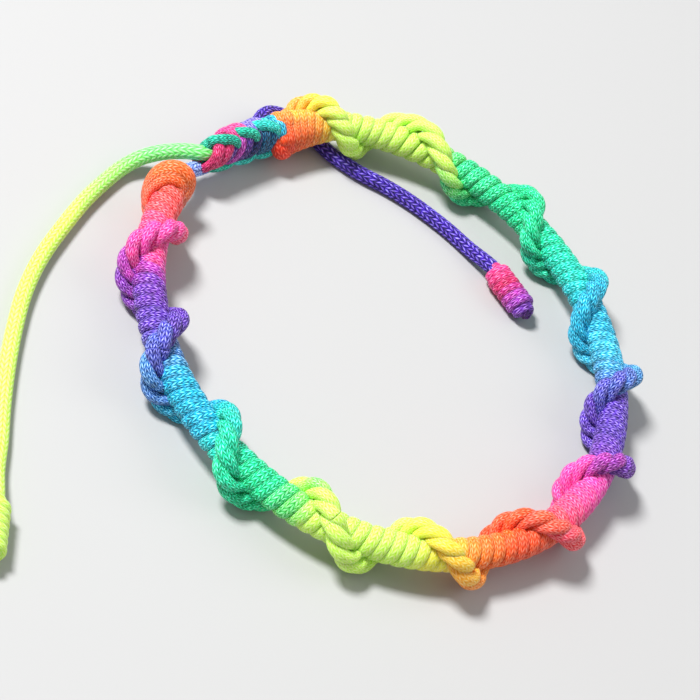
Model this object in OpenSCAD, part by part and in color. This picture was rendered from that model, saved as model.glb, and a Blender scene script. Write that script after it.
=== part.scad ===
// An adjustable knotted bracelet, lying flat. A working cord is tied round a core cord in half hitches
// that all turn the same way, so their bights run round the band as a right-handed spiral ridge.
// Both ends of the core cord pass through a sliding knot and end in wrapped stopper knots.
// Angles go counter-clockwise round the loop, seen from above. Z is up and the surface is at 0.

/* [Loop] */
// Radius of the loop, to the middle of the band
loop_r = 29; // [27:0.5:31]
// How much the loop is out of round, each way
oval = 0.8; // [0:0.1:1.2]
// Direction in which the loop is longest, degrees
oval_turn = 55; // [0:5:175]

/* [Band] */
// Width of the wrapped barrel
barrel_d = 3.7; // [3.2:0.1:4]
// How far the spiral ridge stands out of the barrel
ridge_h = 1.85; // [1:0.05:2.1]
// Where the band's left end is, degrees round the loop
band_start = 108; // [106:0.5:109]
// Where the band's right end is, degrees round the loop, past a full turn
band_end = 436; // [433:0.5:436]

/* [Cord] */
// Thickness of the braided cord
cord_d = 1.8; // [1.6:0.1:1.9]
// How much the band is raised where the purple tail passes under it
tail_lift = 0.25; // [0.1:0.05:0.6]

/* [Sliding knot] */
// Width of the sliding knot, from the inside of the loop to the outside
knot_w = 4.2; // [3.8:0.1:4.6]
// Height of the sliding knot
knot_h = 4.8; // [4.4:0.1:5.2]
// How deep the waists between its square knots are
knot_waist = 0.4; // [0.1:0.05:0.6]

/* [Stopper knots] */
// Width of a stopper knot
stopper_d = 3.4; // [2.8:0.1:3.8]
// How deep the grooves between its wraps are
stopper_groove = 0.3; // [0.1:0.05:0.4]

/* [Hidden] */

barrel_r = barrel_d / 2;
cord_r = cord_d / 2;
axis_z = barrel_r + ridge_h;

// Angle round the loop at which each turn of the ridge stands furthest out, degrees
TURNS_OUT = [86.5, 113.5, 140.5, 168, 194, 219.5, 244, 271.5, 296.5, 322.5, 350, 376, 405.5, 430, 448];
// Section of the ridge: degrees from its crest, and share of the ridge's height
RIDGE = [[0, 1], [18, 0.95], [34, 0.72], [46, 0.36], [58, 0.09], [76, 0], [104, 0], [140, 0]];
RINGS_PER_TURN = 12;
// The ends of the band round down to the core: millimetres from the end of the extra rings there
END_RINGS = [0, 0.2, 0.6, 1.3];
end_round = 2.3;
end_r = cord_r + 0.15;

// Where the sliding knot's ends are, degrees round the loop
knot_start = 436.7;
knot_end = 458.4;
square_knots = 3;
// How far its left end lies inside the middle line of the loop, and below it
knot_in = 0.4;
knot_drop = 0.5;
// How long its rounded ends are, and the share of its width that is left at each end
knot_end_round = 1.1;
knot_face = 0.74;
// Its section, from 2 for an oval upwards, squarer
knot_squareness = 2.5;
KNOT_RINGS = 24;
KNOT_SIDES = 20;
// How far apart the two core cords are inside it
cores_apart = cord_d + 0.1;
// How long the left core cord stays straight where it leaves the knot, and where it meets the band
core_straight = [1.2, 0.7];

// Where the band is raised, degrees round the loop
lift_at = 426;
lift_reach = 38;

// Routes of the tails, millimetres, drawn for a loop of this radius. Each ends just before its stopper
// knot. The purple one starts where the tail leaves the sliding knot, the green one just past that.
drawn_loop_r = 29;
GREEN_ROUTE = [
    [-5.9, 28.9, 4.4], [-7.2, 30.0, 4.0], [-8.3, 31.0, 3.3], [-9.6, 31.9, 2.5], [-11.3, 32.5, 1.7],
    [-13.4, 32.5, 1.1], [-15.6, 32.0, 0.9], [-20.3, 30.4, 0.9], [-25.3, 28.1, 0.9], [-30.2, 25.5, 0.9],
    [-34.6, 22.4, 0.9], [-38.6, 18.7, 0.9], [-42.2, 14.9, 0.9], [-45.3, 11.3, 0.9], [-48.0, 7.9, 0.9],
    [-50.4, 5.2, 1.1]];
PURPLE_ROUTE = [
    [6.6, 31.45, 2.6], [7.5, 31.85, 2.4], [8.5, 32.1, 2.1], [9.5, 32.15, 1.7], [10.45, 31.95, 1.35],
    [11.3, 31.45, 1.1], [12.05, 30.7, 0.95], [12.6, 29.7, 0.9], [12.95, 28.6, 0.9], [13.1, 27.4, 0.9],
    [13.15, 26.1, 0.9], [13.4, 24.5, 0.9], [14.1, 22.6, 0.9], [15.2, 20.3, 0.9], [16.8, 17.8, 0.9],
    [18.2, 15.0, 0.9], [19.3, 12.0, 0.9], [20.2, 8.8, 0.9], [20.7, 5.6, 1.0]];
GREEN_STOPPER = [[-52.5, 2.5, 1.7], [-57.8, -3.7, 1.7]];
PURPLE_STOPPER = [[20.9, 2.1, 1.7], [20.2, -6.1, 1.7]];
// The purple tail's way inside the sliding knot
PURPLE_ROOT = [[1.8, 29.4, 3.3], [4.4, 30.3, 2.85]];
CORD_SIDES = 8;
// Section of a stopper knot along its length: share of the length, and share of its thickness
STOPPER = [[0, 0.5], [0.03, 0.75], [0.09, 0.95], [0.15, 1], [0.85, 1], [0.92, 0.9], [0.97, 0.62], [1, 0.3]];
STOPPER_RINGS = 24;
STOPPER_SIDES = 12;
stopper_wraps = 5;
// The share of its thickness from which a stopper knot has grooves
grooved_from = 0.85;

function unit(v) = v / norm(v);

// How far round the loop an angle is past the place where the band is raised, from -180 to 180
function past_lift(a) = let (d = (a - lift_at) % 360) d > 180 ? d - 360 : d < -180 ? d + 360 : d;
function lift(a) = let (d = past_lift(a))
    abs(d) < lift_reach ? tail_lift * (1 + cos(180 * d / lift_reach)) / 2 : 0;

// The middle line of the band and closure, and the directions across it
function loop_radius(a) = loop_r + oval * cos(2 * (a - oval_turn));
function middle(a) = [loop_radius(a) * cos(a), loop_radius(a) * sin(a), axis_z + lift(a)];
function along(a) = unit(middle(a + 0.5) - middle(a - 0.5));
function outward(a) = unit(cross(along(a), [0, 0, 1]));
function upward(a) = cross(outward(a), along(a));
function degrees_of(length) = length / loop_r * 180 / PI;

// A point beside the middle line, at an angle round it that starts outward and goes up
function round_middle(a, phi, r) = middle(a) + r * (cos(phi) * outward(a) + sin(phi) * upward(a));

// Where the crest of the ridge is, in degrees round the middle line
function crest(a) = lookup(a, [for (i = [0:len(TURNS_OUT) - 1]) [TURNS_OUT[i], -360 * (i - 1)]]);

// From 0 at an end to 1 past the rounded stretch
function rounding(distance, reach) = distance >= reach ? 1 : sqrt(1 - pow(1 - max(distance, 0) / reach, 2));

// A closed skin through rings that have the same number of points, each counted round the same way
module skin(rings) {
    sides = len(rings[0]);
    last = len(rings) - 1;
    polyhedron(
        points = [for (ring = rings) each ring],
        faces = concat(
            [[for (j = [0:sides - 1]) j]],
            [for (i = [0:last - 1], j = [0:sides - 1])
                let (a = i * sides + j, b = i * sides + (j + 1) % sides)
                each [[a, a + sides, b], [b, a + sides, b + sides]]],
            [[for (j = [sides - 1:-1:0]) last * sides + j]]),
        convexity = 10);
}

// Directions across a line whose own direction is d
function beside(d) = unit(cross(d, [0, 0, 1]));
function over(d) = cross(beside(d), d);

// A round cord along a route; its first and last rings face the directions given
module cord(route, first_way, last_way) {
    n = len(route);
    ways = [for (i = [0:n - 1])
        i == 0 ? first_way : i == n - 1 ? last_way : unit(route[i + 1] - route[i - 1])];
    skin([for (i = [0:n - 1]) [for (j = [0:CORD_SIDES - 1])
        let (phi = -90 - 360 * j / CORD_SIDES)
        route[i] + cord_r * (cos(phi) * beside(ways[i]) + sin(phi) * over(ways[i]))]]);
}

function placed(route) = [for (p = route)
    [p[0] * loop_r / drawn_loop_r, p[1] * loop_r / drawn_loop_r, p[2]]];

module knotted_band() {
    start_rings = [for (s = END_RINGS) band_start + degrees_of(s)];
    end_rings = [for (i = [len(END_RINGS) - 1:-1:0]) band_end - degrees_of(END_RINGS[i])];
    from = band_start + degrees_of(end_round);
    to = band_end - degrees_of(end_round);
    count = round((crest(from) - crest(to)) / 360 * RINGS_PER_TURN);
    stations = concat(start_rings, [for (i = [0:count]) from + (to - from) * i / count], end_rings);
    section = concat(RIDGE, [for (i = [len(RIDGE) - 1:-1:1]) [360 - RIDGE[i][0], RIDGE[i][1]]]);
    color("mediumspringgreen")
    skin([for (a = stations)
        let (s = min(a - band_start, band_end - a) / degrees_of(1), grow = rounding(s, end_round))
        [for (p = section)
            round_middle(a, crest(a) - p[0], end_r + (barrel_r + ridge_h * p[1] - end_r) * grow)]]);
}

// The sliding knot is straight, from its right face to its left
knot_right = middle(knot_start);
knot_left = middle(knot_end) - knot_in * outward(knot_end) - [0, 0, knot_drop];
knot_way = unit(knot_left - knot_right);
knot_length = norm(knot_left - knot_right);

// Where a core cord leaves the sliding knot's left face: above its middle with 1, below it with -1
function core_exit(side) = knot_left + side * cores_apart / 2 * over(knot_way);

module left_core() {
    start = core_exit(-1);
    end = middle(band_start);
    color("mediumslateblue")
    cord([start, start + core_straight[0] * knot_way, end - core_straight[1] * along(band_start), end],
        knot_way, along(band_start));
}

module right_core() {
    color("deepskyblue")
    cord([middle(band_end), knot_right], along(band_end), knot_way);
}

// Half the knot's size across, in a direction round the middle line
function knot_r(phi) = 1 / pow(
    pow(abs(cos(phi)) / (knot_w / 2), knot_squareness) + pow(abs(sin(phi)) / (knot_h / 2), knot_squareness),
    1 / knot_squareness);

module sliding_knot() {
    color("teal") union() {
        skin([for (i = [0:KNOT_RINGS])
            let (share = i / KNOT_RINGS, s = min(share, 1 - share) * knot_length,
                grow = knot_face + (1 - knot_face) * rounding(s, knot_end_round))
            [for (j = [0:KNOT_SIDES - 1])
                let (phi = -360 * j / KNOT_SIDES, half_on = sin(phi) < 0 ? 180 : 0,
                    waist = knot_waist * abs(sin(phi)) * (1 + cos(360 * square_knots * share + half_on)) / 2)
                knot_right + share * knot_length * knot_way + (knot_r(phi) - waist) * grow
                    * (cos(phi) * beside(knot_way) + sin(phi) * over(knot_way))]]);
        root = placed(PURPLE_ROOT);
        exit = placed(PURPLE_ROUTE)[0];
        cord(concat(root, [exit]), unit(root[1] - root[0]), unit(exit - root[1]));
    }
}

module tail(first_points, route, first_way, stopper) {
    ends = placed(stopper);
    cord(concat(first_points, placed(route), [ends[0]]), first_way, unit(ends[1] - ends[0]));
}

module green_tail() {
    color("greenyellow")
    tail([core_exit(1)], GREEN_ROUTE, knot_way, GREEN_STOPPER);
}

module purple_tail() {
    root = placed(PURPLE_ROOT);
    exit = placed(PURPLE_ROUTE)[0];
    color("blueviolet")
    tail([], PURPLE_ROUTE, unit(exit - root[1]), PURPLE_STOPPER);
}

// A stopper knot: the cord wrapped round itself and pulled tight
module stopper(line) {
    ends = placed(line);
    way = unit(ends[1] - ends[0]);
    skin([for (i = [0:STOPPER_RINGS])
        let (share = i / STOPPER_RINGS, full = lookup(share, STOPPER),
            groove = full < grooved_from ? 0 : stopper_groove * (1 + cos(360 * stopper_wraps * share)) / 2,
            r = full * stopper_d / 2 - groove)
        [for (j = [0:STOPPER_SIDES - 1])
            let (phi = -90 - 360 * j / STOPPER_SIDES)
            ends[0] + share * (ends[1] - ends[0]) + r * (cos(phi) * beside(way) + sin(phi) * over(way))]]);
}

module green_stopper() {
    color("yellowgreen") stopper(GREEN_STOPPER);
}

module purple_stopper() {
    color("mediumvioletred") stopper(PURPLE_STOPPER);
}

knotted_band();
left_core();
right_core();
sliding_knot();
green_tail();
green_stopper();
purple_tail();
purple_stopper();
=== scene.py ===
import math

import bpy
import numpy as np
from mathutils import Matrix, Vector


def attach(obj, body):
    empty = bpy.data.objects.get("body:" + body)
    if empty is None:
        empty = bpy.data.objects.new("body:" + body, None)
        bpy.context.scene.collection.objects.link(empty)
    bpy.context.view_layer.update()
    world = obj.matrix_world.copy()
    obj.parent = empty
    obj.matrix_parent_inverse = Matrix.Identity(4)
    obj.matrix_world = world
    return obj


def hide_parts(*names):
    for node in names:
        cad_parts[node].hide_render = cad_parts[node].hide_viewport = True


MM = 0.001
TURN = 2 * math.pi

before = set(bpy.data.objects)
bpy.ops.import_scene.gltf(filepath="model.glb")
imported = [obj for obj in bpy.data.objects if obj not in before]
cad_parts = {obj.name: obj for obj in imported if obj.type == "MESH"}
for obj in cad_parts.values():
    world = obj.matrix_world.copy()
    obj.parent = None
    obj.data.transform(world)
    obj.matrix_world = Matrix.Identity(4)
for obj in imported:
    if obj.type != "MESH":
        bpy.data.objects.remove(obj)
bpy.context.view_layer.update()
chance = np.random.default_rng(11)

# Camera: where it stands, what it looks at, and how far it is rolled, from the photograph
EYE = Vector((-151.01, -64.1, 167.65)) * MM
AIM = Vector((-6.76, -0.61, 3.7)) * MM
ROLL = math.radians(32.96)
SENSOR_WIDTH, LENS = 36, 105.9
NEAREST, FURTHEST = 0.01, 10


def place_camera():
    camera = bpy.data.objects.new("camera", bpy.data.cameras.new("camera"))
    bpy.context.scene.collection.objects.link(camera)
    bpy.context.scene.camera = camera
    back = (EYE - AIM).normalized()
    level = Vector((0, 0, 1)).cross(back).normalized()
    rise = back.cross(level)
    right = level * math.cos(ROLL) + rise * math.sin(ROLL)
    up = rise * math.cos(ROLL) - level * math.sin(ROLL)
    turned = Matrix((right, up, back)).transposed().to_4x4()
    turned.translation = EYE
    camera.matrix_world = turned
    camera.data.sensor_width = SENSOR_WIDTH
    camera.data.lens = LENS
    camera.data.clip_start, camera.data.clip_end = NEAREST, FURTHEST


place_camera()

# The loop, the band and the crest of its ridge, as in the part's source
LOOP_R, OVAL, OVAL_TURN = 29.0, 0.8, 55.0
BARREL_R, RIDGE_H, CORD_R = 1.85, 1.85, 0.9
AXIS_Z = BARREL_R + RIDGE_H
BAND_START, BAND_END = 108.0, 436.0
TAIL_LIFT, LIFT_AT, LIFT_REACH = 0.25, 426.0, 38.0
# Where the crest is furthest out, degrees round the loop, and the turn that it is on. Half turns are furthest in.
CREST_PLACES = np.array([
    (86.5, -1), (113.5, 0), (140.5, 1), (168, 2), (194, 3), (219.5, 4), (244, 5), (271.5, 6), (296.5, 7),
    (322.5, 8), (350, 9), (376, 10), (390.8, 10.5), (406.8, 11), (419.8, 11.5), (430, 12), (448, 13)])
MM_PER_DEGREE = LOOP_R * math.pi / 180


def unit(v):
    return v / np.linalg.norm(v, axis=-1, keepdims=True)


def middle(a):
    """The middle line of the band and the closure, at an angle round the loop."""
    a = np.asarray(a, float)
    turn = np.radians(a)
    r = LOOP_R + OVAL * np.cos(2 * np.radians(a - OVAL_TURN))
    past = (a - LIFT_AT + 180) % 360 - 180
    lift = np.where(abs(past) < LIFT_REACH, TAIL_LIFT * (1 + np.cos(np.pi * past / LIFT_REACH)) / 2, 0)
    return np.stack([r * np.cos(turn), r * np.sin(turn), AXIS_Z + lift], -1)


def across(a):
    """The outward and the upward direction at an angle round the loop."""
    along = unit(middle(np.asarray(a) + 0.5) - middle(np.asarray(a) - 0.5))
    outward = unit(np.cross(along, [0, 0, 1]))
    return outward, np.cross(outward, along)


def beside_middle(a, phi, r):
    """Points beside the middle line, phi degrees round it from outward, going up."""
    outward, upward = across(a)
    phi, r = np.radians(phi)[..., None], np.asarray(r, float)[..., None]
    return middle(a) + r * (np.cos(phi) * outward + np.sin(phi) * upward)


def crest(a):
    return -360 * np.interp(a, *CREST_PLACES.T)


def crest_is_at(phi):
    return np.interp(-np.asarray(phi, float) / 360, CREST_PLACES[:, 1], CREST_PLACES[:, 0])


# Lines and the cords along them
SPAN_STEPS = 12


def smooth_line(points, step):
    """Evenly spaced points on a smooth curve through the given ones. Columns after x, y, z go along."""
    p = np.asarray(points, float)
    p = np.vstack([2 * p[0] - p[1], p, 2 * p[-1] - p[-2]])
    t = np.linspace(0, 1, SPAN_STEPS + 1)[:-1][:, None]
    a, b, c, d = (p[i:len(p) - 3 + i, None] for i in range(4))
    q = 0.5 * (2 * b + (c - a) * t + (2 * a - 5 * b + 4 * c - d) * t**2 + (3 * b - a - 3 * c + d) * t**3)
    q = np.vstack([q.reshape(-1, p.shape[1]), p[-2]])
    length = np.concatenate([[0], np.cumsum(np.linalg.norm(np.diff(q[:, :3], axis=0), axis=1))])
    at = np.linspace(0, length[-1], max(3, round(length[-1] / step)) + 1)
    return np.stack([np.interp(at, length, q[:, k]) for k in range(q.shape[1])], 1), at


def straight_up(line):
    return np.broadcast_to([0.0, 0.0, 1.0], (len(line), 3))


# The plait of the cord: columns of slanted stitches, leaning one way and the other by turns
COLUMNS = 12
STITCH = 0.75
# The powers that flatten a column and a stitch, how high a stitch's ends stand, and the plait's usual height
COLUMN_POWER, STITCH_POWER, STITCH_ENDS, USUAL = 0.3, 0.7, 0.2, 0.7


def plait(u, v):
    """How high the plait stands, from 0 to 1, u of the way round the cord and v millimetres along it."""
    column = np.sin(np.pi * COLUMNS * u)
    stitch = np.sin(np.pi * (COLUMNS * u + np.sign(column) * v / STITCH))
    return abs(column)**COLUMN_POWER * (STITCH_ENDS + (1 - STITCH_ENDS) * abs(stitch)**STITCH_POWER)


class Cords:
    """Cords gathered into one mesh, with how far round and along each they are, and their dye."""

    def __init__(self):
        self.points, self.faces, self.uvs, self.dyes, self.count = [], [], [], [], 0

    def add(self, line, up, wide, thick, dye, sides=16, relief=0.0, at=None, squareness=1.0, columns=COLUMNS):
        n = len(line)
        forward = unit(np.gradient(line, axis=0))
        side = unit(np.cross(forward, up))
        up = np.cross(side, forward)
        if at is None:
            at = np.concatenate([[0], np.cumsum(np.linalg.norm(np.diff(line, axis=0), axis=1))])
        u = np.arange(sides) / sides
        c, s = np.cos(TURN * u), np.sin(TURN * u)
        square = np.broadcast_to(squareness, (n,))[:, None]
        c, s = np.sign(c) * abs(c)**square, np.sign(s) * abs(s)**square
        swell = 1 + relief * (plait(u[None], at[:, None]) - USUAL)
        wide, thick = (np.broadcast_to(x, (n,))[:, None] * swell for x in (wide, thick))
        rings = line[:, None] + (wide * c)[..., None] * side[:, None] + (thick * s)[..., None] * up[:, None]
        i, j = np.meshgrid(np.arange(n - 1), np.arange(sides), indexing="ij")
        k = (j + 1) % sides
        quads = np.stack([i * sides + j, (i + 1) * sides + j, (i + 1) * sides + k, i * sides + k], -1)
        more = columns / COLUMNS
        uv = np.stack([np.stack([x / sides * more, at[y]], -1)
                       for y, x in ((i, j), (i + 1, j), (i + 1, j + 1), (i, j + 1))], -2)
        self.points.append(rings.reshape(-1, 3))
        self.faces += (quads.reshape(-1, 4) + self.count).tolist()
        self.uvs.append(uv.reshape(-1, 2))
        for ring, order in ((0, 1), (n - 1, -1)):
            self.faces.append((self.count + ring * sides + np.arange(sides)[::order]).tolist())
            flat = np.stack([(wide * c)[ring] / (TURN * CORD_R), at[ring] + (thick * s)[ring]], -1)
            self.uvs.append(flat[::order])
        self.dyes.append(np.repeat(np.broadcast_to(dye, (n,)), sides))
        self.count += n * sides
        return self

    def build(self, name, material, slot, replaced):
        mesh = bpy.data.meshes.new(name)
        mesh.from_pydata((np.vstack(self.points) * MM).tolist(), [], self.faces)
        layer = mesh.uv_layers.new(name="cord")
        layer.data.foreach_set("uv", np.vstack(self.uvs).astype(np.float32).ravel())
        dye = mesh.attributes.new("dye", "FLOAT", "POINT")
        dye.data.foreach_set("value", np.concatenate(self.dyes).astype(np.float32))
        mesh.polygons.foreach_set("use_smooth", [True] * len(mesh.polygons))
        mesh.materials.append(material)
        mesh.update()
        piece = bpy.data.objects.new(name, mesh)
        bpy.context.scene.collection.objects.link(piece)
        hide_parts(replaced)
        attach(piece, "root")
        return piece


# Dyes, by name, as they look in daylight
DYES = {
    "orange": (255, 165, 90), "deep orange": (255, 136, 76), "red orange": (255, 108, 58),
    "salmon": (255, 130, 98), "coral": (255, 124, 134), "hot pink": (255, 116, 170), "orchid": (252, 116, 196),
    "magenta": (206, 92, 196), "purple": (152, 88, 202), "violet": (130, 98, 208),
    "periwinkle": (122, 128, 220), "sky": (108, 182, 232), "azure": (48, 204, 238),
    "pale azure": (92, 214, 244), "turquoise": (58, 234, 220), "sea green": (46, 240, 196),
    "emerald": (46, 244, 176), "mint": (86, 246, 176), "leaf": (140, 246, 154), "lime": (214, 252, 138),
    "lemon": (240, 240, 118), "gold": (250, 206, 104), "spring green": (160, 244, 160), "teal": (24, 208, 178),
    "navy": (40, 62, 132), "crimson": (226, 60, 128), "rose": (248, 104, 168), "lilac": (156, 150, 234),
    "ice": (164, 186, 250), "deep teal": (16, 116, 158), "plum": (110, 60, 160), "deep violet": (96, 66, 190),
    "dark red": (150, 34, 60), "vermilion": (255, 72, 40)}

# Where each dye is on the band, degrees round the loop, in three stretches
BAND_DYES = [
    [(98, "deep orange"), (112, "deep orange"), (115, "salmon"), (123, "coral"), (130, "hot pink"),
     (134, "orchid"), (139, "hot pink"), (142, "magenta"), (146, "purple"), (157, "violet"),
     (161, "periwinkle"), (168, "sky"), (174, "azure"), (182, "azure"), (186, "turquoise"),
     (192, "sea green"), (200, "emerald"), (203, "mint"), (206, "leaf"), (209, "lime"), (216, "lime")],
    [(214, "lime"), (232, "lime"), (237, "lemon"), (242, "gold"), (248, "orange"), (256, "red orange"),
     (263, "salmon"), (270, "coral"), (278, "hot pink"), (284, "orchid"), (287, "orchid"), (290, "magenta"),
     (293, "purple"), (302, "violet"), (313, "violet"), (317, "periwinkle"), (321, "sky"),
     (325, "pale azure"), (331, "pale azure"), (336, "azure"), (343, "azure"), (350, "turquoise"),
     (358, "sea green"), (368, "emerald"), (377, "emerald"), (383, "mint")],
    [(379, "mint"), (387, "mint"), (390, "leaf"), (394, "lime"), (419, "lime"), (423, "lemon"),
     (426, "gold"), (430, "orange"), (434, "deep orange"), (439, "red orange"), (443, "vermilion")]]


def linear(rgb):
    """A colour from 0 to 255 on each channel, as the linear light that the shaders take."""
    return [(x / 255 / 12.92 if x <= 10 else ((x / 255 + 0.055) / 1.055)**2.4) for x in rgb] + [1.0]


class Nodes:
    """A short way to write a material's nodes."""

    def __init__(self, name):
        self.material = bpy.data.materials.new(name)
        self.material.use_nodes = True
        self.tree = self.material.node_tree
        self.shader = self.tree.nodes["Principled BSDF"]

    def node(self, kind, **values):
        made = self.tree.nodes.new("ShaderNode" + kind)
        for key, value in values.items():
            setattr(made, key, value)
        return made

    def feed(self, socket, value):
        if isinstance(value, (int, float, tuple, list)):
            socket.default_value = value
        else:
            self.tree.links.new(value, socket)

    def math(self, operation, *values, clamp=False):
        made = self.node("Math", operation=operation, use_clamp=clamp)
        for socket, value in zip(made.inputs, values):
            self.feed(socket, value)
        return made.outputs[0]

    def plus(self, a, b):
        return self.math("ADD", a, b)

    def minus(self, a, b):
        return self.math("SUBTRACT", a, b)

    def times(self, a, b, clamp=False):
        return self.math("MULTIPLY", a, b, clamp=clamp)

    def power_of_size(self, a, power):
        return self.math("POWER", self.math("ABSOLUTE", a), power)

    def noise(self, vector, scale, detail=2.0):
        made = self.node("TexNoise")
        self.feed(made.inputs["Vector"], vector)
        made.inputs["Scale"].default_value = scale
        made.inputs["Detail"].default_value = detail
        return made.outputs["Fac"]

    def vector(self, x, y, z):
        made = self.node("CombineXYZ")
        for socket, value in zip(made.inputs, (x, y, z)):
            self.feed(socket, value)
        return made.outputs[0]


def ramp_of(nodes, dyes, value):
    ramp = nodes.node("ValToRGB")
    low, high = dyes[0][0], dyes[-1][0]
    steps = ramp.color_ramp.elements
    while len(steps) > 1:
        steps.remove(steps[-1])
    for i, (where, name) in enumerate(dyes):
        step = steps[0] if i == 0 else steps.new((where - low) / (high - low))
        step.position = (where - low) / (high - low)
        step.color = linear(DYES[name])
    nodes.feed(ramp.inputs[0], nodes.math("DIVIDE", nodes.minus(value, float(low)), float(high - low)))
    return ramp.outputs[0]


# Noise in the cord's material, in waves to the metre: the plait's unevenness, patches of dye, and a random jitter
# of the painted shade and painted glints
UNEVEN_SCALE, PATCH_SCALE, SHADE_JITTER_SCALE = 1100.0, 420.0, 1500.0
# Fibres: their waves across a stitch and along it, and the scale of their noise
FIBRES_ACROSS, FIBRES_ALONG, FIBRE_SCALE = 6.0, 0.8, 1.6
# How far the patches shift the dye, in units of its ramp
PATCH_SHIFT = 6.0
# How much a dye glows, as a share of its red: always, and with its green and its green squared
GLOW, GREEN_GLOW, GREENER_GLOW = 0.55, 0.15, 0.5
# Painted shade of the plait, its gaps darker and its highest stitches lighter: its strength, and how much less of
# it green has
PLAIT_SHADE, GREEN_PLAIT_SHADE_LESS = 1.3, 0.5
# Brightness at the plait's usual height, how much darker it is where nothing glows, and the darkest that the
# painted shade gets
BRIGHT, PLAIN_DARKER, DARKEST = 1.08, 0.12, 0.35
# How much the fibre streaks change the brightness, as painted sheen and shade along the fibres, and how much the
# random jitter changes the painted shade
FIBRE_SHEEN_AND_SHADE, SHADE_JITTER_STRENGTH = 1.1, 1.6
# Painted shade in the dye, as a gamma: its value at the usual height, how much it changes with height, deeper and
# darker in the gaps, and how much less in glowing dyes
GAP_SHADE_GAMMA, GAP_SHADE_RANGE, GLOW_GAP_SHADE_RANGE = 1.26, 1.2, 0.8
# Saturation in the deepest gaps, which are painted shade, and how much less of it the fibres and the height
# leave, as painted sheen and painted highlight
SATURATION, FIBRE_PALER, HIGH_PALER = 1.3, 0.22, 0.25
# The painted glint's colour, mixed into the base colour, the height where it starts, and its strength
PAINTED_GLINT, PAINTED_GLINT_FROM, PAINTED_GLINT_STRENGTH = (0.8, 0.9, 1.0, 1.0), 0.95, 1.5
# How much of the bump glowing dyes lose, and the fibres' share of it
GLOW_SMOOTHER, FIBRE_BUMP = 0.7, 0.35
# Roughness added in the gaps, lost with height, and added by the fibres
GAP_ROUGHER, HIGH_SMOOTHER, FIBRE_ROUGHER = 0.22, 0.3, 0.16
SPECULAR, SHEEN, SHEEN_ROUGHNESS = 0.4, 0.05, 0.4
# Light that goes into the cord: its share in plain dyes and how much more in glowing ones, and how deep it goes,
# which is for each colour a share of a depth in metres
INSIDE, GLOW_INSIDE, INSIDE_RADIUS, INSIDE_SCALE = 0.1, 0.6, (1.0, 0.9, 0.6), 0.0009


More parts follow.
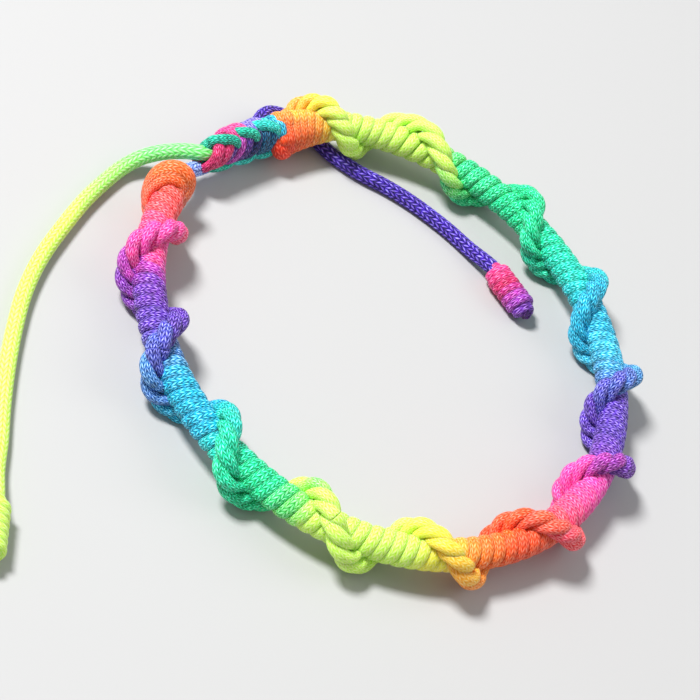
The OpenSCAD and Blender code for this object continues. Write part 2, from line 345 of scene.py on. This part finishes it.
def cord_material(name, dyes, spread=1.0, depth=0.14, gloss=0.34, shade_strength=1.4, uneven=0.45):
    """Silky braided nylon: a plait of carriers with fine fibres, dyed by the mesh's dye value, with painted shade
    in the plait's gaps and painted glints on its highest stitches.
    """
    n = Nodes(name)
    split = n.node("SeparateXYZ")
    n.feed(split.inputs[0], n.node("UVMap", uv_map="cord").outputs[0])
    place = n.node("TexCoord").outputs["Object"]
    u = split.outputs[0]
    v = n.plus(split.outputs[1], n.times(n.minus(n.noise(place, UNEVEN_SCALE, 1.0), 0.5), uneven))

    # The same plait as the mesh's relief
    turns, steps = n.times(u, float(COLUMNS)), n.math("DIVIDE", v, STITCH)
    column = n.math("SINE", n.times(turns, math.pi))
    side = n.math("SIGN", column)
    along = n.plus(turns, n.times(side, steps))
    against = n.minus(turns, n.times(side, steps))
    stitch = n.power_of_size(n.math("SINE", n.times(along, math.pi)), STITCH_POWER)
    high = n.times(n.power_of_size(column, COLUMN_POWER),
                   n.plus(STITCH_ENDS, n.times(stitch, 1 - STITCH_ENDS)))
    fibres = n.noise(n.vector(n.times(along, FIBRES_ACROSS), n.times(against, FIBRES_ALONG), side), FIBRE_SCALE)
    patches = n.noise(place, PATCH_SCALE, 3.0)
    # A random jitter that makes the painted shade and the painted glints uneven from stitch to stitch
    shade_jitter = n.minus(n.noise(place, SHADE_JITTER_SCALE, 2.0), 0.5)

    dye = n.node("Attribute", attribute_type="GEOMETRY", attribute_name="dye").outputs["Fac"]
    colour = ramp_of(n, dyes, n.plus(dye, n.times(n.minus(patches, 0.5), PATCH_SHIFT * spread)))
    # Fluorescent warm dyes glow, so the painted shade of their plait is weaker
    parts = n.node("SeparateColor")
    n.feed(parts.inputs[0], colour)
    red, green = parts.outputs[0], parts.outputs[1]
    glow = n.plus(GLOW, n.times(green, n.plus(GREEN_GLOW, n.times(green, GREENER_GLOW))))
    glow = n.times(red, glow, clamp=True)
    plain = n.minus(1.0, glow)
    # Painted shade and painted light: the plait's gaps darker and its highest stitches lighter
    plait_shade = n.times(plain, n.times(n.minus(PLAIT_SHADE, n.times(green, GREEN_PLAIT_SHADE_LESS)), shade_strength))
    value = n.plus(n.times(n.minus(high, USUAL), plait_shade), n.minus(BRIGHT, n.times(plain, PLAIN_DARKER)))
    # Fibre streaks: painted sheen and shade along the fibres
    value = n.plus(value, n.times(n.times(n.minus(fibres, 0.5), plain), FIBRE_SHEEN_AND_SHADE))
    value = n.plus(value, n.times(shade_jitter, n.times(plait_shade, SHADE_JITTER_STRENGTH)))
    value = n.math("MAXIMUM", value, DARKEST)
    # Painted shade: the dye deeper and darker in the plait's gaps, paler and lighter on its highest stitches
    gap_shade = n.times(n.minus(USUAL, high), n.minus(GAP_SHADE_RANGE, n.times(glow, GLOW_GAP_SHADE_RANGE)))
    shaded_dye = n.node("Gamma")
    n.feed(shaded_dye.inputs["Color"], colour)
    n.feed(shaded_dye.inputs["Gamma"], n.plus(GAP_SHADE_GAMMA, gap_shade))
    paler = n.plus(n.times(fibres, FIBRE_PALER), n.times(high, HIGH_PALER))
    shaded_tone = n.node("HueSaturation")
    n.feed(shaded_tone.inputs["Color"], shaded_dye.outputs[0])
    n.feed(shaded_tone.inputs["Value"], value)
    n.feed(shaded_tone.inputs["Saturation"], n.minus(SATURATION, paler))

    # Painted highlight: the stitches that stand highest get a pale glint mixed into the base colour
    painted_glint_mix = n.node("Mix", data_type="RGBA")
    base, light = [socket for socket in painted_glint_mix.inputs if socket.type == "RGBA"]
    n.feed(painted_glint_mix.inputs[0], n.times(n.minus(n.plus(high, shade_jitter), PAINTED_GLINT_FROM), n.times(plain, PAINTED_GLINT_STRENGTH),
                                  clamp=True))
    n.feed(base, shaded_tone.outputs[0])
    light.default_value = PAINTED_GLINT
    n.feed(n.shader.inputs["Base Color"], painted_glint_mix.outputs[2])

    bump = n.node("Bump")
    n.feed(bump.inputs["Strength"], n.minus(1.0, n.times(glow, GLOW_SMOOTHER)))
    bump.inputs["Distance"].default_value = depth * MM
    n.feed(bump.inputs["Height"], n.plus(high, n.times(fibres, FIBRE_BUMP)))
    n.feed(n.shader.inputs["Normal"], bump.outputs[0])
    smooth = n.minus(gloss + GAP_ROUGHER, n.times(high, HIGH_SMOOTHER))
    n.feed(n.shader.inputs["Roughness"], n.plus(smooth, n.times(fibres, FIBRE_ROUGHER)))
    n.feed(n.shader.inputs["Subsurface Weight"], n.plus(INSIDE, n.times(glow, GLOW_INSIDE)))
    for socket, value in (("Specular IOR Level", SPECULAR), ("Sheen Weight", SHEEN),
                          ("Sheen Roughness", SHEEN_ROUGHNESS), ("Subsurface Radius", INSIDE_RADIUS),
                          ("Subsurface Scale", INSIDE_SCALE)):
        n.shader.inputs[socket].default_value = value
    return n.material


# The tails, along the routes of the part's source, millimetres
KNOT_START, KNOT_END, KNOT_IN, KNOT_DROP, CORES_APART = 436.7, 458.4, 0.4, 0.5, 1.9
GREEN_ROUTE = [
    (-5.9, 28.9, 4.4), (-7.2, 30.0, 4.0), (-8.3, 31.0, 3.3), (-9.6, 31.9, 2.5), (-11.3, 32.5, 1.7),
    (-13.4, 32.5, 1.1), (-15.6, 32.0, 0.9), (-20.3, 30.4, 0.9), (-25.3, 28.1, 0.9), (-30.2, 25.5, 0.9),
    (-34.6, 22.4, 0.9), (-38.6, 18.7, 0.9), (-42.2, 14.9, 0.9), (-45.3, 11.3, 0.9), (-48.0, 7.9, 0.9),
    (-50.4, 5.2, 1.1)]
PURPLE_ROUTE = [
    (6.6, 31.45, 2.6), (7.5, 31.85, 2.4), (8.5, 32.1, 2.1), (9.5, 32.15, 1.7), (10.45, 31.95, 1.35),
    (11.3, 31.45, 1.1), (12.05, 30.7, 0.95), (12.6, 29.7, 0.9), (12.95, 28.6, 0.9), (13.1, 27.4, 0.9),
    (13.15, 26.1, 0.9), (13.4, 24.5, 0.9), (14.1, 22.6, 0.9), (15.2, 20.3, 0.9), (16.8, 17.8, 0.9),
    (18.2, 15.0, 0.9), (19.3, 12.0, 0.9), (20.2, 8.8, 0.9), (20.7, 5.6, 1.0)]
GREEN_STOPPER = np.array([(-52.5, 2.5, 1.7), (-57.8, -3.7, 1.7)])
PURPLE_STOPPER = np.array([(20.9, 2.1, 1.7), (20.2, -6.1, 1.7)])
PURPLE_ROOT = [(1.8, 29.4, 3.3), (4.4, 30.3, 2.85)]
TAIL_STEP, TAIL_SIDES = 0.12, 64

# The sliding knot is straight, from its right face to its left
knot_right = middle(KNOT_START)
knot_left = middle(KNOT_END) - KNOT_IN * across(KNOT_END)[0] - np.array([0, 0, KNOT_DROP])
knot_way = unit(knot_left - knot_right)
knot_beside = unit(np.cross(knot_way, [0, 0, 1]))
knot_over = np.cross(knot_beside, knot_way)
green_exit = knot_left + CORES_APART / 2 * knot_over
core_exit = knot_left - CORES_APART / 2 * knot_over
# The green tail inside the closure: millimetres before its exit, and how far beneath it
GREEN_INSIDE = [(3.0, 0.7), (1.2, 0.25)]
green_before = [green_exit - before * knot_way - beneath * knot_over for before, beneath in GREEN_INSIDE]

# Dyes of the tails, by millimetres along them. A stopper's run on from its tail's.
GREEN_DYES = [(0, "spring green"), (10, "spring green"), (26, "lime"), (80, "lime")]
PURPLE_DYES = [(0, "deep violet"), (43, "deep violet"), (44, "rose"), (47, "rose"), (50, "crimson"),
               (52, "magenta"), (55, "purple"), (56, "plum"), (57, "dark red")]
# A stopper's wraps: how many, how far on the first starts, how far out they go, half width, half thickness
WRAPS, WRAPS_TURNED, WRAPS_OUT, WRAPS_WIDE, WRAPS_THICK = 7.6, 0.15, 0.98, 0.62, 0.71
# Millimetres left free of wraps at a stopper's two ends, and the size of its core
FREE_START, FREE_END, STOPPER_CORE_R = 0.5, 0.75, 0.8
# The wraps start and end close in, at these shares of their distance, and open out at this rate
CLOSE_START, CLOSE_END, OPENING = 0.25, 0.2, 5
POINTS_PER_WRAP, STOPPER_STEP = 8, 0.16
# The plait on a stopper's wraps, against the tail's
STOPPER_FINER, STOPPER_COLUMNS = 1.4, 16


def tail(name, route, stopper, slot, material, before, relief):
    into_stopper = stopper[0] + 0.2 * (stopper[1] - stopper[0])
    line, at = smooth_line([*before, *route, stopper[0], into_stopper], TAIL_STEP)
    cords = Cords().add(line, straight_up(line), CORD_R, CORD_R, at, sides=TAIL_SIDES, relief=relief, at=at)
    return cords.build(name + "_tail_cord", material, slot, name + "_tail"), line, at


def stopper_knot(name, ends, material, slot, start, tip):
    """The cord wrapped back over itself, with its melted end showing. Its dye goes from start to tip."""
    way = unit(ends[1] - ends[0])
    side = unit(np.cross(way, [0, 0, 1.0]))
    over = np.cross(side, way)
    length = np.linalg.norm(ends[1] - ends[0])
    first, last = FREE_START, length - FREE_END
    rows = []
    for t in np.linspace(0, 1, int(WRAPS * POINTS_PER_WRAP) + 1):
        phi = TURN * (WRAPS_TURNED + WRAPS * t)
        r = WRAPS_OUT * min(1, CLOSE_START + OPENING * t, CLOSE_END + OPENING * (1 - t))
        outward = math.cos(phi) * side + math.sin(phi) * over
        rows.append([*(ends[0] + (first + t * (last - first)) * way + r * outward), t])
    line, at = smooth_line(rows, STOPPER_STEP)
    centre = ends[0] + ((line[:, :3] - ends[0]) @ way)[:, None] * way
    cords = Cords().add(line[:, :3], line[:, :3] - centre, WRAPS_WIDE, WRAPS_THICK,
                        start + line[:, 3] * (tip - start), sides=20, squareness=0.8,
                        at=STOPPER_FINER * at, columns=STOPPER_COLUMNS)
    inner, _ = smooth_line([ends[0] - 0.3 * way, ends[0] + 0.5 * length * way, ends[1] - 0.5 * way], 0.3)
    cords.add(inner, np.broadcast_to(over, inner.shape), STOPPER_CORE_R, STOPPER_CORE_R,
              start + np.linspace(0, 1, len(inner)) * (tip - start), sides=24)
    return cords.build(name + "_stopper_knot", material, slot, name + "_stopper")


green_material = cord_material("green_nylon", GREEN_DYES, shade_strength=0.3, depth=0.09, uneven=0.3)
purple_material = cord_material("purple_nylon", PURPLE_DYES, spread=0.3)
green_tail, green_line, green_at = tail(
    "green", GREEN_ROUTE, GREEN_STOPPER, "green_cord", green_material, [*green_before, green_exit], relief=0.07)
purple_tail, purple_line, purple_at = tail(
    "purple", PURPLE_ROUTE, PURPLE_STOPPER, "purple_cord", purple_material, PURPLE_ROOT, relief=0.11)
green_stopper = stopper_knot("green", GREEN_STOPPER, green_material, "green_cord", start=63.0, tip=72.0)
purple_stopper = stopper_knot("purple", PURPLE_STOPPER, purple_material, "pink_cord", start=45.0, tip=56.0)

# The band: one working cord in half hitches round the core, each a little further round than the last
HITCHES_PER_TURN = 11
FIRST_HITCH, LAST_HITCH = BAND_END + 1.8, BAND_START + 6.5
# A bight on the ridge, from where it comes up beneath the one before to where it dives beneath the one after:
# steps along the band, degrees round it, distance from the middle line, half width, half thickness
BIGHT = [(-1.36, -46, 1.34, 0.70, 0.52), (-1.33, -33, 1.48, 0.70, 0.54), (-1.22, -21, 1.94, 0.72, 0.58),
         (-0.92, -12, 2.48, 0.76, 0.64), (-0.48, -5, 2.86, 0.80, 0.68), (0.00, 0, 2.98, 0.82, 0.70),
         (0.48, 5, 2.92, 0.82, 0.68), (0.92, 12, 2.60, 0.78, 0.64), (1.24, 22, 2.08, 0.74, 0.58),
         (1.36, 35, 1.68, 0.72, 0.52), (1.38, 50, 1.44, 0.72, 0.52)]
BIGHT_SQUARE = 0.92
# A wrap beneath, on from the bight: degrees round the band where it starts and ends, how many points it has,
# how many steps along the band it starts and how many it goes back
WRAP_FROM, WRAP_TO, WRAP_POINTS, WRAP_AHEAD, WRAP_BACK = 50, 300, 8, 1.30, 1.60
WRAP_R, WRAP_WIDE, WRAP_THICK, WRAP_SQUARE = 1.27, 0.78, 0.58, 0.80
# How much hitches differ: the dye of each and of its bight, how far the bight stands out and turns where it is
# further out than OUT_FROM, and how far the wrap leans
TINT, BIGHT_TINT, HIGHER, TURNED, OUT_FROM, LEAN = 1.0, 1.5, (-0.05, 0.2), 4.0, 2.2, 0.06
# The bights get plumper towards the right end: from where, over how many degrees, how much
PLUMP_FROM, PLUMP_OVER, PLUMPER = 432, 4, 0.3
# The wraps stand out more towards the left end: how much, over how many degrees
END_BULGE, END_OVER = 0.22, 10
# How many degrees round the loop the ridge's dye lags behind the barrel's, at some places
DYE_LAGS = [(136, 0.0), (142, -2.5), (150, -2.5), (158, 2.5), (170, 3.0), (178, 0.0), (183, -2.0), (200, 0.0),
            (300, 0.0), (316, -2.5), (325, 0.0), (410, 0.0), (424, 3.0), (431, 3.0), (436, -6.0)]
# Towards the band's right end the wraps bulge on their lower inner side: from where, over how many degrees, how
# much, and in which direction. There the dye is further on beneath than on top, by so many degrees each way.
FAN_FROM, FAN_OVER, FAN_OUT, FAN_TURN, FAN_DYE = 424.0, 13.0, 2.1, 230.0, 7.0


def share_past(a, start, over):
    return min(1.0, max(0.0, (a - start) / over))


def hitch_path():
    """Control points x, y, z, loop angle, half width, half thickness, dye, squareness."""
    step = 360.0 / HITCHES_PER_TURN
    phis = np.arange(crest(FIRST_HITCH), crest(LAST_HITCH), step)
    rows = []
    for phi, beyond in zip(phis[:-1], phis[1:]):
        a, b = crest_is_at(phi), crest_is_at(beyond)
        d, tint = b - a, chance.uniform(-TINT, TINT)
        high, turned = chance.uniform(*HIGHER), chance.uniform(-TURNED, TURNED)
        plump = 1 + PLUMPER * share_past(a, PLUMP_FROM, PLUMP_OVER)
        dye = a - np.interp(a, *np.transpose(DYE_LAGS)) + chance.uniform(-BIGHT_TINT, BIGHT_TINT)
        places = [(a + t * d, phi + turn + turned * (out > OUT_FROM), out + high * (out > OUT_FROM),
                   wide * plump, thick * plump, BIGHT_SQUARE, dye) for t, turn, out, wide, thick in BIGHT]
        bulge = END_BULGE * max(0.0, 1 - (b - LAST_HITCH) / END_OVER)
        leans = chance.uniform(-LEAN, LEAN)
        fanned = share_past(a, FAN_FROM, FAN_OVER)
        for turn in np.linspace(WRAP_FROM, WRAP_TO, WRAP_POINTS):
            beneath = math.cos(math.radians(beyond + turn - FAN_TURN))
            ahead = WRAP_AHEAD - WRAP_BACK * (turn - WRAP_FROM) / (WRAP_TO - WRAP_FROM) + leans
            places.append((a + ahead * d, beyond + turn, WRAP_R + bulge + FAN_OUT * fanned * max(0.0, beneath),
                           WRAP_WIDE, WRAP_THICK, WRAP_SQUARE, a + 0.5 * d + FAN_DYE * fanned * beneath))
        for where, turn, out, wide, thick, square, dye in places:
            point = beside_middle(np.array([where]), np.array([turn]), np.array([out]))[0]
            rows.append([*point, where, wide, thick, dye + tint, square])
    return rows


band_materials = [cord_material(f"rainbow_nylon_{i}", dyes) for i, dyes in enumerate(BAND_DYES, 1)]
# The first bight, folded over the band's left end: millimetres in from that end, degrees round the band,
# distance out, half thickness, half width
HOOD = [(6.6, -30, 1.6, 0.50, 1.0), (6.0, -14, 2.25, 0.58, 1.15), (5.2, 2, 2.5, 0.68, 1.3),
        (4.5, 16, 2.6, 0.82, 1.35), (3.9, 32, 2.62, 0.98, 1.35), (3.4, 50, 2.62, 1.08, 1.3),
        (3.0, 70, 2.55, 1.10, 1.25), (2.8, 90, 2.4, 1.04, 1.2), (2.75, 108, 2.18, 0.90, 1.15),
        (2.9, 125, 1.96, 0.74, 1.1), (3.3, 142, 1.78, 0.62, 1.0), (4.1, 158, 1.62, 0.54, 0.9),
        (4.9, 172, 1.42, 0.50, 0.8)]
# Its two folds: millimetres further in, share of its thickness further down, share of its size, and dye
FOLDS = [(0.0, 0.0, 1.0, 111.0), (0.75, 0.4, 0.9, 113.0)]
HOOD_COLUMNS = 20
# The dye is this much further on at a fold's ends than at its top, which is so many degrees round the band
REDDER, TOP, TOP_TO_END = 5, 85, 115
# The band's last wraps, under the first bight: degrees round the loop from its left end, how far they go along,
# degrees round the band where they start and how far they go back round, and their dye
UNDER_FROM, UNDER_LONG, UNDER_TURN, UNDER_TURNS, UNDER_DYE = 4.6, 6, 70, 760, 113.5
# How far out they are, how much less at their start, their half width and half thickness
UNDER_R, UNDER_IN, UNDER_WIDE, UNDER_THICK = 1.25, 0.5, 0.78, 0.56
BAND_STEP, HOOD_STEP = 0.19, 0.18
# The core inside the band: its radius, and how many degrees past the two ends it starts and stops
BAND_CORE_R, BAND_CORE_FROM, BAND_CORE_PAST = 1.3, 6, 0.4
working, working_at = smooth_line(hitch_path(), BAND_STEP)
# The working cord is thinner than the core cord, so its plait is finer: shorter stitches, in more columns
FINER, FINE_COLUMNS = 1.6, 16
# Where the band is cut into pieces, degrees round the loop, and which stretch of dyes each piece takes
EDGES = [BAND_START - 10, 165, 215, 265, 320, 381, BAND_END + 10]
DYED_WITH = [0, 0, 1, 1, 1, 2]


def add_working_cord(cords, low, high):
    """The stretches of the working cord that lie between two angles round the loop."""
    inside = (working[:, 3] >= low) & (working[:, 3] < high)
    runs = np.flatnonzero(np.diff(np.concatenate([[0], inside.astype(int), [0]])))
    for first, last in zip(runs[::2], runs[1::2]):
        last = min(last + 1, len(working))
        if last - first < 3:
            continue
        part = working[first:last]
        cords.add(part[:, :3], part[:, :3] - middle(part[:, 3]), part[:, 4], part[:, 5], part[:, 6], sides=20,
                  at=FINER * working_at[first:last], squareness=part[:, 7], columns=FINE_COLUMNS)


def add_last_wraps(cords):
    t = np.linspace(0, 1, 40)
    line, at = smooth_line(beside_middle(BAND_START + UNDER_FROM + UNDER_LONG * t, UNDER_TURN - UNDER_TURNS * t,
                                         UNDER_R - UNDER_IN * (1 - t)**8), HOOD_STEP)
    beside = middle(BAND_START + np.linspace(UNDER_FROM, UNDER_FROM + UNDER_LONG, len(line)))
    cords.add(line, line - beside, UNDER_WIDE, UNDER_THICK, UNDER_DYE, sides=20, at=FINER * at, squareness=0.8,
              columns=FINE_COLUMNS)


def add_hood(cords):
    into, turn, out, thick, wide = np.array(HOOD).T
    hood_a = BAND_START + into / MM_PER_DEGREE
    for beside, lower, slimmer, dye in FOLDS:
        fold_a = hood_a + beside / MM_PER_DEGREE
        fold = beside_middle(fold_a, turn, out - lower * thick)
        redder = dye + REDDER * (abs(turn - TOP) / TOP_TO_END)**1.5
        line, at = smooth_line(
            np.column_stack([fold, fold_a, slimmer * thick, slimmer * wide, redder]), HOOD_STEP)
        cords.add(line[:, :3], line[:, :3] - middle(line[:, 3]), line[:, 5], line[:, 4], line[:, 6], sides=32,
                  at=FINER * at, columns=HOOD_COLUMNS)


for number, (low, high) in enumerate(zip(EDGES, EDGES[1:]), 1):
    cords = Cords()
    add_working_cord(cords, low, high)
    core_a = np.arange(max(low, BAND_START + BAND_CORE_FROM), min(high, BAND_END + BAND_CORE_PAST), 0.5)
    cords.add(middle(core_a), straight_up(core_a), BAND_CORE_R, BAND_CORE_R, core_a, sides=24)
    if number == 1:
        add_last_wraps(cords)
        add_hood(cords)
    cords.build(f"band_cord_{number}", band_materials[DYED_WITH[number - 1]], "rainbow_cord", "knotted_band")

# The sliding closure: square knots round both tails, pulled tight. Its dyes come by number.
KNOT_DYES = list(enumerate([
    "teal", "turquoise", "azure", "lilac", "crimson", "rose", "magenta", "navy", "deep teal", "plum"]))
KNOT_DYE = {name: where for where, name in KNOT_DYES}
knot_material = cord_material("closure_nylon", KNOT_DYES, spread=0.05, shade_strength=1.6)
# It sits a little askew on the sliding knot's line
CLOSURE_RIGHT = knot_right + np.array([0, -0.2, -0.5])
CLOSURE_LEFT = knot_left + np.array([0, 0.25, 0.9])
closure_way = unit(CLOSURE_LEFT - CLOSURE_RIGHT)
closure_beside = unit(np.cross(closure_way, [0, 0, 1]))
closure_over = np.cross(closure_beside, closure_way)
closure_length = float(np.linalg.norm(CLOSURE_LEFT - CLOSURE_RIGHT))
# The line of a tight wrap: half its width and height at the right end, and how much less at the left
HALF_W, HALF_H, NARROWER, LOWER = 1.5, 1.75, 0.25, 0.35
# How far along it a slanting strand may reach
KNOT_REACH = 12.6
KNOT_STEP = 0.14


def on_knot(s, phi, out):
    """A point s millimetres from the closure's right face, phi degrees round it, out from a tight wrap."""
    turn, part = math.radians(phi), min(1.0, max(0.0, s / closure_length))
    half_w, half_h = HALF_W - NARROWER * part, HALF_H - LOWER * part
    r = half_w * half_h / math.hypot(half_h * math.cos(turn), half_w * math.sin(turn)) + out
    outward = math.cos(turn) * closure_beside + math.sin(turn) * closure_over
    return CLOSURE_RIGHT + s * closure_way + r * outward


def knot_strand(cords, places, dye, wide, thick):
    line, at = smooth_line([[*on_knot(*place), place[0]] for place in places], KNOT_STEP)
    centre = CLOSURE_RIGHT + line[:, 3:4] * closure_way
    cords.add(line[:, :3], line[:, :3] - centre, wide, thick, KNOT_DYE[dye], sides=24, at=FINER * at,
              squareness=0.9, columns=FINE_COLUMNS)


closure = Cords()
# Strands over the inner and the outer face, from the top edge to the bottom: where each starts along the
# closure, how far it slants, how far it stands out, and its dye
INNER = [(0.95, 1.1, 0.10, "azure"), (2.2, 1.2, -0.05, "deep teal"), (3.3, 1.5, 0.0, "deep teal"),
         (4.6, 2.0, 0.02, "navy"), (5.9, 2.4, 0.0, "plum"), (7.1, 2.6, 0.05, "magenta"),
         (8.1, 2.8, -0.1, "plum"), (9.0, 3.0, 0.10, "crimson"), (10.5, 3.2, 0.14, "crimson")]
OUTER = [(0.9, 0.4, 0.0, "azure"), (2.4, 1.0, 0.0, "turquoise"), (3.6, 1.2, 0.4, "lilac"),
         (5.0, 1.2, 0.3, "lilac"), (6.5, 1.4, 0.5, "rose"), (7.8, 1.3, 0.45, "rose"),
         (9.3, 1.4, -0.15, "plum"), (10.6, 1.2, -0.15, "teal")]
# How much further out each point of such a strand is. Its ends go under the edges' bights.
STRAND = (-0.6, -0.15, 0, 0, 0, 0, 0, -0.15, -0.6)
for faces, first_turn, last_turn in ((INNER, 70, 290), (OUTER, 104, -104)):
    for start, slant, out, dye in faces:
        knot_strand(closure, [(min(start + slant * t, KNOT_REACH), first_turn + t * (last_turn - first_turn),
                               out + sunk) for t, sunk in zip(np.linspace(0, 1, len(STRAND)), STRAND)],
                    dye, 0.74, 0.56)
# A bight along the top and the bottom edge, one end over the next: half lengths from its middle, degrees round
# the closure, and how far it stands out
TOP_BIGHT = [(1.05, 60, -0.5), (0.8, 74, 0.22), (0.3, 89, 0.52), (-0.35, 99, 0.52), (-0.8, 110, 0.36),
             (-1, 124, -0.1), (-0.95, 138, -0.6)]
BOTTOM_BIGHT = [(1.05, 276, -0.5), (0.8, 258, 0.25), (0.3, 244, 0.62), (-0.35, 236, 0.66), (-0.8, 228, 0.4),
                (-1, 220, -0.1), (-0.95, 212, -0.6)]
# The bights of an edge: where the middle of each is along the closure, its half length and its dye
TOP_BIGHTS = [(3.4, 1.45, "turquoise"), (6.75, 1.45, "teal"), (10.1, 1.75, "teal")]
BOTTOM_BIGHTS = [(2.9, 1.5, "turquoise"), (6.3, 1.6, "turquoise"), (10.2, 2.1, "teal")]
for shape, bights, wide, thick in (
        (TOP_BIGHT, TOP_BIGHTS, 0.64, 0.62), (BOTTOM_BIGHT, BOTTOM_BIGHTS, 0.6, 0.56)):
    for mid, half, dye in bights:
        knot_strand(closure, [(mid + share * half, turn, out) for share, turn, out in shape], dye, wide, thick)
closure.build("closure_cord", knot_material, "closure_cord", "sliding_knot")

# The core cord between the closure and the band's two ends. Its dyes come by number, first on the left.
LEFT_DYES, RIGHT_DYES = (0, 6), (10, 20)
CORE_DYES = [(0, "ice"), (6, "ice"), (10, "red orange"), (20, "deep orange")]
core_material = cord_material("core_nylon", CORE_DYES, spread=0.3, shade_strength=1.9)
along_start = unit(middle(BAND_START + 0.5) - middle(BAND_START - 0.5))
LEFT_CORE = [core_exit - 3.0 * knot_way, core_exit, core_exit + 1.2 * knot_way,
             middle(BAND_START) - 0.7 * along_start, middle(BAND_START), middle(BAND_START + 6)]
RIGHT_CORE = [middle(BAND_END - 2), middle(BAND_END), knot_right, knot_right + 2.0 * knot_way]
for name, places, dyes in (("left_core", LEFT_CORE, LEFT_DYES), ("right_core", RIGHT_CORE, RIGHT_DYES)):
    line, at = smooth_line(places, KNOT_STEP)
    core = Cords().add(line, straight_up(line), CORD_R, CORD_R, np.linspace(*dyes, len(line)), sides=TAIL_SIDES,
                       relief=0.11, at=at)
    core.build(name + "_cord", core_material, "core_cord", name)

# Floor and light
REACH = 3.0
PAPER_GREY, PAPER_ROUGHNESS = 0.48, 0.9
floor_mesh = bpy.data.meshes.new("floor")
floor_mesh.from_pydata(
    [(-REACH, -REACH, 0), (REACH, -REACH, 0), (REACH, REACH, 0), (-REACH, REACH, 0)], [], [(0, 1, 2, 3)])
floor = bpy.data.objects.new("floor", floor_mesh)
bpy.context.scene.collection.objects.link(floor)
paper = bpy.data.materials.new("paper")
paper.use_nodes = True
paper_shader = paper.node_tree.nodes["Principled BSDF"]
paper_shader.inputs["Base Color"].default_value = (PAPER_GREY, PAPER_GREY, PAPER_GREY, 1)
paper_shader.inputs["Roughness"].default_value = PAPER_ROUGHNESS
floor_mesh.materials.append(paper)

CENTRE = Vector((0, 0, 0.004))
SKY_STRENGTH = 0.38


def soft_light(name, azimuth, elevation, distance, size, watts):
    lamp = bpy.data.lights.new(name, "AREA")
    lamp.shape, lamp.size, lamp.energy = "DISK", size, watts
    light = bpy.data.objects.new(name, lamp)
    bpy.context.scene.collection.objects.link(light)
    turn, rise = math.radians(azimuth), math.radians(elevation)
    towards = Vector((math.cos(turn) * math.cos(rise), math.sin(turn) * math.cos(rise), math.sin(rise)))
    light.location = CENTRE + distance * towards
    light.rotation_euler = towards.to_track_quat("Z", "Y").to_euler()


soft_light("key", azimuth=120, elevation=55, distance=0.8, size=0.2, watts=9.6)
soft_light("fill", azimuth=330, elevation=40, distance=0.9, size=0.7, watts=2.0)
world = bpy.data.worlds.new("studio")
world.use_nodes = True
sky = world.node_tree.nodes["Background"]
sky.inputs["Color"].default_value = (1, 1, 1, 1)
sky.inputs["Strength"].default_value = SKY_STRENGTH
bpy.context.scene.world = world
bpy.context.scene.view_settings.view_transform = "Standard"
